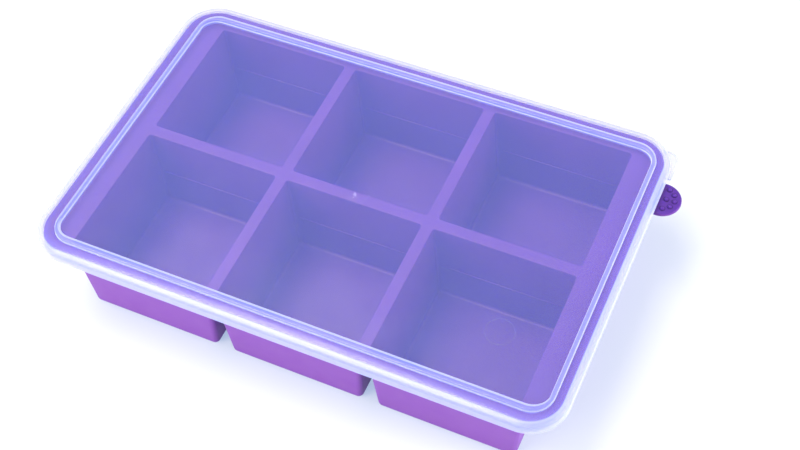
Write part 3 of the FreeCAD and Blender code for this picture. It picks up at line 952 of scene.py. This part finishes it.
@dataclass
class ThumbTab:
    """Half-round tab on the right of the rim, with six grip bumps.

    Args:
        deck: Sizes of the rim that carries it.
        radius: Radius of its round end.
        reach: Distance of that end's centre from the rim's outer edge.
        across: Distance of its middle line behind the tray's middle.
        thickness: Thickness of the plate.
        edge: Radius of its upper edge.
        low_edge: Radius of its lower edge.
        edge_ring: Width of the flat ring inside the rounded edge.
        edge_painted_light: Share of the lighter colour on its side, painted light where the
            front lamp catches the edge.
        painted_light_from: Depth under its face at which the painted light on its side starts.
        root: How far it reaches into the rim.
        root_round: Radius of its two corners there.
        tip_flat: Half the flat at its tip, which keeps two corners apart.
        sampling: Steps of its outline.
        bump_radius: Radius of a bump.
        bump_rise: Height of a bump.
        bump_ring: Radius of the flat ring round a bump's foot.
        bump_seat: Height of that ring over the plate.
        bump_sink: Depth to which it goes down into the plate.
        bump_tip: Share of a bump's area inside its first ring of points.
        bump_rings: Rings of points from there to the foot.
        painted_shadow_from: Share of a bump's radius at which the painted shadow colour starts.
        ring_painted_shadow: Share of the painted shadow colour on the flat ring.
        around: Points round a bump.
        arc_bumps: Bumps that stand on an arc.
        bump_circle: Radius of that arc.
        bump_sweep: Degrees from the first of them to the last.
        middle_bump: Distance of the last bump from the round end's centre.
    """

    deck: Deck
    radius: float = 9.9
    reach: float = 4.2
    across: float = 57.475
    thickness: float = 2.0
    edge: float = 1.1
    low_edge: float = 0.45
    edge_ring: float = 0.5
    edge_painted_light: float = 0.7
    painted_light_from: float = 0.15
    root: float = 3.0
    root_round: float = 1.0
    tip_flat: float = 0.001
    sampling: Sampling = field(default_factory=lambda: Sampling(20, 8))
    bump_radius: float = 1.25
    bump_rise: float = 1.1
    bump_ring: float = 1.6
    bump_seat: float = 0.02
    bump_sink: float = 0.3
    bump_tip: float = 0.12
    bump_rings: int = 7
    painted_shadow_from: float = 0.75
    ring_painted_shadow: float = 0.3
    around: int = 24
    arc_bumps: int = 5
    bump_circle: float = 6.5
    bump_sweep: float = 140.0
    middle_bump: float = 2.4

    @property
    def centre(self) -> np.ndarray:
        """Centre of the round end in the row frame."""
        side = self.deck.rim_core[0] + self.deck.rim_outer
        return np.array([side + self.reach + MIDDLE[0], self.across])

    @property
    def top(self) -> float:
        """Height of the tab's upper face."""
        return self.deck.rim_foot + self.thickness

    def plate(self) -> bpy.types.Object:
        """Make the tab as a flat plate with rounded edges, rooted in the rim.

        Returns:
            The plate.
        """
        length = self.radius + self.reach + self.root
        radii = (self.radius - self.tip_flat,) * 2 + (self.root_round,) * 2
        outline, outward = self.sampling.loop((length / 2, self.radius), radii)
        outline = outline + self.centre + np.array([self.radius - length / 2, 0.0])
        top, foot, start = self.top, self.deck.rim_foot, -self.edge - self.edge_ring
        corners = np.array([[start, top], [0, top], [0, foot], [start, foot]])
        profile = soften(corners, np.array([0, self.edge, self.low_edge, 0.0]))
        # Painted light: the tab's side below the rounded edge takes the lighter colour.
        light = np.interp(profile[:, 1], (top - self.edge, top - self.painted_light_from),
                          (self.edge_painted_light, 0.0))
        skin = Skin("thumb_tab")
        skin.loops(carried(outline, outward, profile), End.POLE, End.POLE, light)
        return skin.build()

    def bumps(self) -> bpy.types.Object:
        """Make the grip bumps: some on an arc and one near its centre.

        A bump is a cap whose height falls with the square of the distance from its middle, with
        a flat ring round its foot. The painted shadow colour grows evenly up to the foot.

        Returns:
            One piece with six closed bumps.
        """
        sweep = self.bump_sweep / 2
        turn = np.radians(np.linspace(-sweep, sweep, self.arc_bumps))
        arc = self.bump_circle * directions(turn)
        places = np.vstack([arc, [[self.middle_bump, 0.0]]]) + self.centre
        share = np.sqrt(np.linspace(self.bump_tip, 1, self.bump_rings))
        seat = self.top + self.bump_seat
        cap = seat + self.bump_rise * (1 - share**2)
        height = np.append(cap, [seat, self.top - self.bump_sink])
        reach = np.append(share * self.bump_radius, [self.bump_ring] * 2)
        # Painted shadow: the bumps' feet and the ring round them are painted dark.
        shade = np.clip((share - self.painted_shadow_from) / (1 - self.painted_shadow_from), 0, 1)
        painted_shadow = np.append(shade, [self.ring_painted_shadow] * 2)
        ring = directions(np.linspace(0, 2 * math.pi, self.around, endpoint=False))
        dome = raised(reach[:, None, None] * ring[None], height)
        skin = Skin("grip_bumps")
        for place in places:
            skin.loops(dome + np.append(place, 0.0), End.POLE, End.POLE, painted_shadow)
        return skin.build()


@dataclass(frozen=True)
class Bead:
    """The stacking bead on the lid's panel: two low walls and a flat crest.

    Args:
        inner: Distance of its inner wall from the rim's core.
        outer: Distance of its outer wall.
        rise: Height of its crest over the panel.
        crest_round: Radius of its crest's two edges.
        foot: Radius where its walls meet the panel.
        slide: How far it sits to the right and to the back.
        pinch: How far out its inner and its outer wall sit besides on the short sides.
        slide_to: Distance past its outer wall up to which the panel goes with it.
    """

    inner: float = 8.25
    outer: float = 11.4
    rise: float = 1.7
    crest_round: float = 0.5
    foot: float = 0.4
    slide: Pair = (1.2, -0.15)
    pinch: Pair = (0.95, -0.2)
    slide_to: float = 0.6

    def shifts(self, reach: np.ndarray, outward: np.ndarray) -> np.ndarray:
        """Work out how far each point of the panel and the bead is slid and pinched.

        Args:
            reach: Distance of each ring from the rim's core, T long.
            outward: Outward direction at each point of a ring, N by 2.

        Returns:
            Shifts, T by N by 3, and 0 outside the bead.
        """
        pinch = np.interp(reach, (self.inner, self.outer), self.pinch)
        shifts = np.tile(np.append(self.slide, 0.0), (len(reach), len(outward), 1))
        shifts[..., 0] += pinch[:, None] * outward[None, :, 0]
        return shifts * (reach < self.outer + self.slide_to)[:, None, None]


@dataclass(frozen=True)
class Gate:
    """The round gate recess in the middle of the panel, with a low nub in it.

    Args:
        radius: Radius of the recess.
        depth: Depth of the recess.
        wall: How far its wall leans out.
        ring: Width of the flat ring round it.
        nub_radius: Radius of the nub's shoulder.
        nub_tip: Radius of the nub's tip.
        nub_rise: Height of its tip over the recess.
        nub_shoulder: Height of its shoulder.
        nub_foot: Width of its sloping foot.
    """

    radius: float = 7.0
    depth: float = 0.3
    wall: float = 0.05
    ring: float = 0.5
    nub_radius: float = 0.45
    nub_tip: float = 0.2
    nub_rise: float = 0.14
    nub_shoulder: float = 0.08
    nub_foot: float = 0.2

    def rings(self, top: float, points: np.ndarray) -> np.ndarray:
        """Make rings from the nub's tip over the recess to the panel.

        Each point lies at its ring's radius, towards the point of the outline that it is for.

        Args:
            top: Height of the panel.
            points: The lid's outline, N by 2.

        Returns:
            Rings, T by N by 3.
        """
        low = top - self.depth
        steps = np.array([
            [self.nub_tip, low + self.nub_rise],
            [self.nub_radius, low + self.nub_shoulder],
            [self.nub_radius + self.nub_foot, low],
            [self.radius, low],
            [self.radius + self.wall, top],
            [self.radius + self.ring, top],
        ])
        ways = directions(np.arctan2(points[:, 1], points[:, 0]))
        return raised(steps[:, :1, None] * ways[None], steps[:, 1])


@dataclass(frozen=True)
class LidHaze:
    """How milky the lid looks from part to part, in millimetres of the flat panel.

    Args:
        inner_foot: Haze along the foot of the bead's inner wall, partly the wall seen edge on
            and partly a painted highlight line.
        outer_foot: Along the foot of its outer wall, likewise partly a painted highlight line.
        foot_height: Height of those two lines over the panel.
        crest: On the rest of the bead.
        bead_reach: Distance past the bead's walls up to which its haze counts.
        bead_fade: Distance from the walls, under the panel, at which it has faded.
        edge: Added on one edge of the crest, front and back, as a painted highlight line.
        edge_line: Width of that line.
        edge_reach: Distance past it up to which a point still counts as on it.
        edge_depth: Depth under the crest up to which a point counts as on it.
        flat: Added on the panel where it comes to the shoulder, as painted reflection.
        front: Added there besides along the front, as painted highlight.
        flat_from: Distance from the rim's core at which these two start.
        shoulder: On the shoulder, partly the thick bend and partly a painted highlight line.
        shoulder_from: Distance from the core at which it starts.
        shoulder_ramp: Width over which it comes in.
        skirt: On the skirt.
        skirt_ramp: Distance past the start of the shoulder at which the skirt's haze holds.
        hem: At the skirt's lower edge.
        hem_height: Height over which that fades.
    """

    inner_foot: float = 26.0
    outer_foot: float = 18.0
    foot_height: float = 0.5
    crest: float = 5.0
    bead_reach: float = 0.3
    bead_fade: float = 0.4
    edge: float = 16.0
    edge_line: float = 1.05
    edge_reach: float = 0.05
    edge_depth: float = 0.42
    flat: float = 0.45
    front: float = 0.9
    flat_from: float = 12.2
    shoulder: float = 15.0
    shoulder_from: float = 16.4
    shoulder_ramp: float = 0.4
    skirt: float = 7.5
    skirt_ramp: float = 1.6
    hem: float = 9.0
    hem_height: float = 0.8


@dataclass
class Lid:
    """The stiff lid: panel with gate and bead, shoulder, skirt, lift tab and moulding mark.

    Args:
        deck: Sizes of the rim that it sits on.
        foot: Height of the skirt's lower edge.
        underside: Height of the panel's lower face.
        top: Height of its upper face.
        foot_outer: Distance of the skirt's outer face from the rim's core, at its foot.
        draft: Degrees by which the skirt leans out.
        skirt_wall: Thickness of the skirt.
        roll: Degrees by which the panel rolls down before the shoulder.
        roll_from: Distance from the core at which it starts.
        roll_round: Radius of that bend.
        shoulder: Radius of the shoulder.
        inner_round: Radius inside the shoulder.
        hem: Radius of the skirt's lower edges.
        start: Distance from the bead's inner wall to the profile's first ring.
        ledge: Width of the ring on the underside next to the skirt.
        arc_steps: Steps in each arc of the profile.
        core_round: Radius that the core's corners get while it is sampled.
        sharp_degrees: Edges that turn by more than this stay sharp.
        bead: The stacking bead.
        gate: The gate recess.
        haze: How milky the parts are.
        sampling: Steps of a corner and a side.
    """

    deck: Deck
    foot: float = 49.7
    underside: float = 54.1
    top: float = 55.3
    foot_outer: float = 19.9927
    draft: float = 4.0
    skirt_wall: float = 2.0
    roll: float = 8.0
    roll_from: float = 15.0
    roll_round: float = 34.0
    shoulder: float = 1.6
    inner_round: float = 1.0
    hem: float = 0.45
    start: float = 1.2
    ledge: float = 1.3
    arc_steps: int = 8
    core_round: float = 1.0
    sharp_degrees: float = 40.0
    bead: Bead = field(default_factory=Bead)
    gate: Gate = field(default_factory=Gate)
    haze: LidHaze = field(default_factory=LidHaze)
    sampling: Sampling = field(default_factory=lambda: Sampling(16, 10))

    @property
    def crest(self) -> float:
        """Height of the bead's crest."""
        return self.top + self.bead.rise

    @property
    def panel(self) -> float:
        """Thickness of the flat panel."""
        return self.top - self.underside

    def _profile(self) -> np.ndarray:
        """Profile from inside the bead over it, the shoulder and the skirt, to the underside.

        Returns:
            Reaches and heights, T by 2.
        """
        bead, line = self.bead, self.haze.edge_line
        lean = math.tan(math.radians(self.draft))
        outer = self.foot_outer - (self.top - self.foot) * lean
        drop = (outer - self.roll_from) * math.tan(math.radians(self.roll))
        inner_foot = self.foot_outer - self.skirt_wall
        inner_top = inner_foot - (self.underside - self.foot) * lean
        turns = np.array([
            [bead.inner - self.start, self.top, 0.0],
            [bead.inner, self.top, bead.foot],
            [bead.inner, self.crest, bead.crest_round],
            [bead.inner + line, self.crest, 0.0],
            [bead.outer - line, self.crest, 0.0],
            [bead.outer, self.crest, bead.crest_round],
            [bead.outer, self.top, bead.foot],
            [self.roll_from, self.top, self.roll_round],
            [outer, self.top - drop, self.shoulder],
            [self.foot_outer, self.foot, self.hem],
            [inner_foot, self.foot, self.hem],
            [inner_top, self.underside, self.inner_round],
            [inner_top - self.ledge, self.underside, 0.0],
        ])
        outside = soften(turns[:, :2], turns[:, 2], self.arc_steps)
        fade = self.haze.bead_fade
        under = np.array([self.haze.shoulder_from, bead.outer + fade, bead.outer,
                          bead.inner, bead.inner - fade])
        beneath = np.stack([under, np.full(len(under), self.underside)], axis=-1)
        return np.vstack([outside, beneath])

    def _haze_along(self, profile: np.ndarray) -> np.ndarray:
        """Work out the haze that is the same all round the lid.

        Off the bead it goes evenly from the panel's to the shoulder's and the skirt's with the
        reach, and is at least the hem's, which fades evenly with the height. On the bead it is
        that of the foot lines, partly painted highlight, within their height and that of the
        crest elsewhere.

        Args:
            profile: Reaches and heights, T by 2.

        Returns:
            Depth of haze at each point of the profile.
        """
        haze, bead, thin = self.haze, self.bead, self.panel
        reach, height = profile[:, 0], profile[:, 1]
        start = haze.shoulder_from
        bends = (haze.flat_from, start, start + haze.shoulder_ramp, start + haze.skirt_ramp)
        wall = np.interp(reach, bends, (thin, thin + haze.flat, haze.shoulder, haze.skirt))
        hem = np.interp(height, (self.foot, self.foot + haze.hem_height), (haze.hem, 0.0))
        # Foot lines on the bead: partly the wall seen edge on, partly a painted highlight line.
        nearer_inner = reach < (bead.inner + bead.outer) / 2
        line = np.where(nearer_inner, haze.inner_foot, haze.outer_foot)
        at_foot = np.abs(height - self.top) < haze.foot_height
        past_inner = reach > bead.inner - haze.bead_reach
        on_bead = past_inner & (reach < bead.outer + haze.bead_reach)
        return np.where(on_bead, np.where(at_foot, line, haze.crest), np.maximum(wall, hem))

    def _haze_round(self, profile: np.ndarray, outward: np.ndarray) -> np.ndarray:
        """Work out the haze that is added on some sides of the lid only.

        It is the edge haze times how squarely that side of the ring faces front or back, on the
        inner edge in front and the outer edge behind. Outside the bead it grows evenly up to
        the front haze at the shoulder, times how squarely the side faces front. Both are
        painted highlights.

        Args:
            profile: Reaches and heights, T by 2.
            outward: Outward direction at each point of the ring, N by 2.

        Returns:
            Depth of haze, T by N.
        """
        haze, bead = self.haze, self.bead
        reach, width = profile[:, 0], haze.edge_line + haze.edge_reach
        high = np.abs(profile[:, 1] - self.crest) < haze.edge_depth
        inner = high & (np.abs(reach - bead.inner) < width)
        outer = high & (np.abs(reach - bead.outer) < width)
        front, behind = np.maximum(-outward[:, 1], 0.0), np.maximum(outward[:, 1], 0.0)
        # Painted highlight: haze on the crest's edges and the front panel, by which way the side
        # faces.
        start = haze.shoulder_from
        flat = np.interp(reach, (haze.flat_from, start, start + haze.shoulder_ramp),
                         (0.0, haze.front, 0.0))
        edge = haze.edge * (inner[:, None] * front + outer[:, None] * behind)
        return edge + flat[:, None] * front

    def shell(self) -> bpy.types.Object:
        """Make panel, bead and skirt as one closed skin.

        Its rings run from the gate's nub out over the panel, down the skirt and back under the
        panel. The haze over the gate is the panel's own.

        Returns:
            The lid's main piece.
        """
        half = np.array(self.deck.rim_core) + self.core_round
        points, outward = self.sampling.loop(tuple(half), (self.core_round,) * 4)
        profile = self._profile()
        rings = carried(points, outward, profile - np.array([self.core_round, 0.0]))
        rings = rings + self.bead.shifts(profile[:, 0], outward)
        gate = self.gate.rings(self.top, points)
        middle = (gate[-1] + rings[0]) / 2
        haze = self._haze_along(profile)[:, None] + self._haze_round(profile, outward)
        bare = np.full((len(gate) + 1, len(outward)), self.panel)
        skin = Skin("lid_shell")
        skin.loops(np.concatenate([gate, middle[None], rings]) + MIDDLE, End.POLE, End.POLE,
                   np.concatenate([bare, haze]))
        return skin.build(self.sharp_degrees)

    def build(self, plastic: bpy.types.Material) -> list[bpy.types.Object]:
        """Make and dress every piece of the lid.

        Args:
            plastic: Material of the moulding.

        Returns:
            The pieces.
        """
        shell = self.shell()
        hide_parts("lid")
        pieces = [shell, LiftTab(self).plate(), MouldingMark(self).ring()]
        for piece in pieces:
            piece.data.materials.append(plastic)
            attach(piece, "lid")
        return pieces


@dataclass
class LiftTab:
    """Flat tab at the lid's back right corner, rooted in the skirt.

    Args:
        lid: The lid that carries it.
        side: How far it stands out of the skirt's foot on the right.
        inset: Distance of its back edge in front of the skirt's.
        length: Length from front to back.
        thickness: Thickness of the plate.
        corner: Radius of its back right corner.
        front_corner: Radius of its front right corner.
        root: How far it reaches into the skirt past the round corner.
        root_corner: Radius of its corners there.
        edge: Radius of its upper and lower edges.
        edge_steps: Steps in each of their arcs.
        edge_ring: Distance of the profile's ends from its outline.
        edge_width: Width of its milky edge.
        edge_haze: How milky that edge is, in millimetres of the flat panel.
        haze: How milky the rest is.
        sampling: Steps of its outline.
    """

    lid: Lid
    side: float = 1.7
    inset: float = 3.8
    length: float = 17.5
    thickness: float = 1.2
    corner: float = 6.7
    front_corner: float = 1.2
    root: float = 0.8
    root_corner: float = 1.0
    edge: float = 0.3
    edge_steps: int = 3
    edge_ring: float = 0.9
    edge_width: float = 0.6
    edge_haze: float = 24.0
    haze: float = 5.5
    sampling: Sampling = field(default_factory=lambda: Sampling(10, 4))

    def plate(self) -> bpy.types.Object:
        """Make the tab.

        Returns:
            The tab.
        """
        lid = self.lid
        right = lid.deck.rim_core[0] + lid.foot_outer + self.side
        back = lid.deck.rim_core[1] + lid.foot_outer - self.inset
        width = self.side + self.corner + self.root
        radii = (self.front_corner, self.corner, self.root_corner, self.root_corner)
        outline, outward = self.sampling.loop((width / 2, self.length / 2), radii)
        outline = outline + np.array([right - width / 2 + MIDDLE[0], back - self.length / 2])
        foot, top, start = lid.foot, lid.foot + self.thickness, -self.edge_ring
        corners = np.array([[start, top], [0, top], [0, foot], [start, foot]])
        profile = soften(corners, np.array([0, self.edge, self.edge, 0.0]), self.edge_steps)
        haze = np.where(profile[:, 0] > -self.edge_width, self.edge_haze, self.haze)
        skin = Skin("lift_tab")
        skin.loops(carried(outline, outward, profile), End.POLE, End.POLE, haze)
        return skin.build()


@dataclass
class MouldingMark:
    """Thin round moulding mark over the front right cell.

    Args:
        lid: The lid that carries it.
        place: Its middle, to the right and to the back of the tray's middle.
        rise: Height over the panel.
        sink: Depth to which it goes down into the panel.
        crest: Half the width of its top.
        foot: Half the width of its foot.
        haze: How milky it is, in millimetres of the flat panel.
        steps: Steps in a quarter of the ring.
    """

    lid: Lid
    place: Pair = (95.6, -48.0)
    rise: float = 0.05
    sink: float = 0.2
    crest: float = 0.1
    foot: float = 0.2
    haze: float = 0.35
    steps: int = 24

    def ring(self) -> bpy.types.Object:
        """Make the mark as a closed ring as large as the gate, which sinks into the panel.

        Returns:
            The ring.
        """
        radius, top = self.lid.gate.radius, self.lid.top
        outline, outward = Sampling(self.steps, 0).loop((radius,) * 2, (radius,) * 4)
        low, high = top - self.sink, top + self.rise
        section = np.array([[-self.foot, low], [-self.crest, high], [self.crest, high],
                            [self.foot, low], [-self.foot, low]])
        place = np.array(self.place) + MIDDLE[:2]
        skin = Skin("lid_mark")
        skin.loops(carried(outline + place, outward, section),
                   wall=np.full(len(section), self.haze))
        return skin.build()


@dataclass(frozen=True)
class Lamp:
    """A soft round or oval lamp that looks at the tray.

    Args:
        name: Name of the lamp.
        azimuth: Degrees round from the front, to the right.
        elevation: Degrees above the floor.
        distance: Metres from the tray.
        size: Width from side to side and length from front to back, in metres.
        power: Watts.
        shade: Colour of its light.
        mirrored: Whether glossy surfaces show it.
    """

    name: str
    azimuth: float
    elevation: float
    distance: float
    size: Pair
    power: float
    shade: tuple[float, float, float]
    mirrored: bool

    def place(self) -> None:
        """Add the lamp to the scene, with its length turned as nearly to the back as it goes."""
        turn, rise = math.radians(self.azimuth), math.radians(self.elevation)
        way = Vector((math.sin(turn) * math.cos(rise), -math.cos(turn) * math.cos(rise),
                      math.sin(rise)))
        back = Vector((0.0, 1.0, 0.0))
        long = (back - way * back.dot(way)).normalized()
        light = bpy.data.lights.new(self.name, "AREA")
        light.shape, light.energy, light.color = "ELLIPSE", self.power, self.shade
        light.size, light.size_y = self.size
        lamp = placed(self.name, light)
        lamp.location = way * self.distance
        lamp.visible_glossy = self.mirrored
        lamp.rotation_euler = Matrix((long.cross(way), long, way)).transposed().to_euler()


@dataclass
class Studio:
    """Pale floor, soft lamps, a white world and the camera.

    Args:
        floor_side: Half the floor's width, in metres.
        floor_points: Points along each side of the floor.
        floor_level: Radius of its level part, in metres.
        floor_rise: How fast it rises past that, for each metre.
        floor_gap: Metres that it lies under the cups' feet.
        ambient: Brightness of the world as a light.
        mirrored: Its brightness in glossy surfaces.
        lens: Focal length, in millimetres.
        sensor: Width of the sensor, in millimetres.
        clip: Least distance that the camera sees, in metres.
        seat: Place of the camera, in metres.
        turn: Its turn about X, Y and Z, in degrees.
        lamps: The lamps.
    """

    floor_side: float = 3.0
    floor_points: int = 41
    floor_level: float = 1.2
    floor_rise: float = 0.03
    floor_gap: float = 0.00005
    ambient: float = 0.42
    mirrored: float = 0.7
    lens: float = 61.742
    sensor: float = 36.0
    clip: float = 0.01
    seat: tuple[float, float, float] = (0.205996, -0.360561, 0.587699)
    turn: tuple[float, float, float] = (36.50369, 2.48654, 24.17120)
    lamps: tuple[Lamp, ...] = (
        Lamp("window", -34.0, 17.0, 1.5, (1.0, 1.0), 22.5, (1.0, 0.95, 0.91), False),
        Lamp("ceiling", -81.0, 71.1, 3.0, (1.65, 2.5), 103.0, (1.0, 0.98, 0.97), True),
        Lamp("fill", 95.0, 18.0, 1.5, (1.2, 1.2), 32.0, (0.98, 0.97, 0.95), False),
    )

    def floor(self) -> bpy.types.Object:
        """Lay the floor as a gently cupped sheet that is level near the tray.

        Its height rises with the square of the distance past the level part.

        Returns:
            The floor.
        """
        count = self.floor_points
        line = np.linspace(-1, 1, count) * self.floor_side
        x, y = np.meshgrid(line, line, indexing="ij")
        away = np.maximum(np.hypot(x, y) - self.floor_level, 0.0)
        height = self.floor_rise * away**2 - self.floor_gap
        points = np.stack([x, y, height], axis=-1).reshape(-1, 3)
        index = np.arange(count * count).reshape(count, count)
        quads = np.stack([index[:-1, :-1], index[1:, :-1], index[1:, 1:], index[:-1, 1:]], -1)
        mesh = bpy.data.meshes.new("floor")
        mesh.from_pydata(points.tolist(), [], quads.reshape(-1, 4).tolist())
        mesh.polygons.foreach_set("use_smooth", [True] * len(mesh.polygons))
        mesh.materials.append(PaleFloor().make())
        made = placed("floor", mesh)
        return made

    def world(self) -> None:
        """Make the world white to look at and softly lit otherwise.

        Its strength is 1 for rays that look, the mirrored brightness for glossy rays and the
        ambient brightness for all others.
        """
        world = bpy.data.worlds.new("studio")
        world.use_nodes = True
        graph = Graph(world.node_tree)
        rays = graph.node("ShaderNodeLightPath").outputs
        looking = graph.math("MAXIMUM", rays["Is Camera Ray"], rays["Is Transmission Ray"])
        seen = graph.math("MULTIPLY", looking, 1.0 - self.ambient)
        glossy = graph.math("MULTIPLY", rays["Is Glossy Ray"], self.mirrored - self.ambient)
        strength = graph.math("ADD", self.ambient, graph.math("ADD", seen, glossy))
        sky = graph.node("ShaderNodeBackground", (1.0, 1.0, 1.0, 1.0), strength)
        graph.node("ShaderNodeOutputWorld", sky.outputs[0])
        bpy.context.scene.world = world

    def camera(self) -> None:
        """Set the camera where the tray is seen from above, in front and to the right."""
        camera = bpy.data.cameras.new("camera")
        camera.sensor_width, camera.lens, camera.clip_start = self.sensor, self.lens, self.clip
        made = placed("camera", camera)
        made.location = self.seat
        made.rotation_euler = tuple(math.radians(angle) for angle in self.turn)
        bpy.context.scene.camera = made

    def build(self) -> None:
        """Put the whole studio in the scene."""
        self.floor()
        self.world()
        for lamp in self.lamps:
            lamp.place()
        self.camera()
        bpy.context.scene.view_settings.view_transform = "Standard"


def corners(box: tuple[Vector, Vector]) -> list[list[float]]:
    """Turn a box's two corners into plain lists."""
    return [list(corner) for corner in box]


def main() -> None:
    """Load the frame, build the tray, the lid and the studio."""
    logging.basicConfig(level=logging.INFO, format="%(name)s: %(message)s")
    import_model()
    deck = Deck()
    pieces = Tray(deck).build(Silicone().make(), TAB_PAINTED_SHADE_SILICONE.make(), GRIP_PAINTED_SHADOW_SILICONE.make())
    pieces += Lid(deck).build(MilkyPlastic().make())
    for piece in pieces:
        LOG.info("%s: %d faces", piece.name, len(piece.data.polygons))
    Studio().build()


if __name__ == "__main__":
    main()
